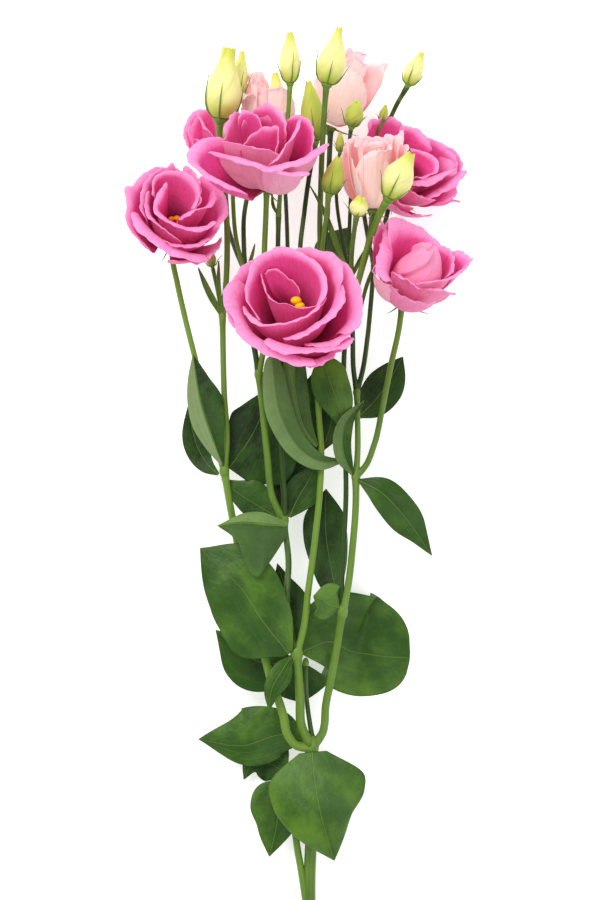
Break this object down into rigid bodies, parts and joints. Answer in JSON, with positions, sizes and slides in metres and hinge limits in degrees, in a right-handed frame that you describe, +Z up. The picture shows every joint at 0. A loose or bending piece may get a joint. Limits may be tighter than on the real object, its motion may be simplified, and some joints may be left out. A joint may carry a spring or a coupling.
{
  "type": "cut flower spray",
  "caption": "Branched cut spray of double lisianthus with pink blooms, pale blooms, closed buds and broad leaves, lying on a surface.",
  "frame": {"origin": "bottom centre of the bounding box of the lying spray, on the surface that it lies on", "axes": "+Y along the stem from its cut end to the blooms, +Z up from the surface, +X to the right when the blooms point away"},
  "size_m": [0.2058, 0.584, 0.1104],
  "materials": {
    "leaf": "waxy grey-green leaf",
    "stem": "smooth green stem",
    "bud_cream": "soft satin, closed cream petals",
    "bud_green": "soft satin, young green petals",
    "petal_deep": "velvety deep pink petal",
    "petal_pale": "velvety pale pink petal",
    "stigma": "moist yellow stigma",
    "stamens": "powdery orange anthers"
  },
  "bodies": {
    "root": {"bloom_back_left": "petal_deep", "bloom_back_right": "petal_deep", "bloom_front": "petal_deep", "bloom_left": "petal_deep", "bloom_pale_left": "petal_pale", "bloom_pale_right": "petal_pale", "bloom_pale_top": "petal_pale", "bloom_right": "petal_deep", "bloom_upper": "petal_deep", "bud_a": "bud_cream", "bud_b": "bud_cream", "bud_c": "bud_cream", "bud_d": "bud_cream", "bud_e": "bud_green", "bud_f": "bud_cream", "bud_g": "bud_cream", "bud_h": "bud_green", "bud_i": "bud_green", "bud_j": "bud_green", "bud_k": "bud_green", "bud_l": "bud_cream", "bud_m": "bud_cream", "bud_n": "bud_green", "bud_o": "bud_green", "leaf_behind_left": "leaf", "leaf_big_left": "leaf", "leaf_big_right": "leaf", "leaf_curl": "leaf", "leaf_curved_up": "leaf", "leaf_dark_centre": "leaf", "leaf_dark_left": "leaf", "leaf_dark_outer": "leaf", "leaf_dark_right": "leaf", "leaf_folded": "leaf", "leaf_fork_back": "leaf", "leaf_fork_left": "leaf", "leaf_fork_right": "leaf", "leaf_front": "leaf", "leaf_hanging": "leaf", "leaf_high": "leaf", "leaf_long": "leaf", "leaf_long_inner": "leaf", "leaf_low_left": "leaf", "leaf_narrow": "leaf", "leaf_olive": "leaf", "leaf_outer_left": "leaf", "leaf_right_tip": "leaf", "leaf_shadow": "leaf", "leaf_small_left": "leaf", "leaf_sword_left": "leaf", "leaf_tuck": "leaf", "leaf_under": "leaf", "stamens": "stamens", "stems": "stem", "stigma": "stigma"}
  },
  "joints": []
}
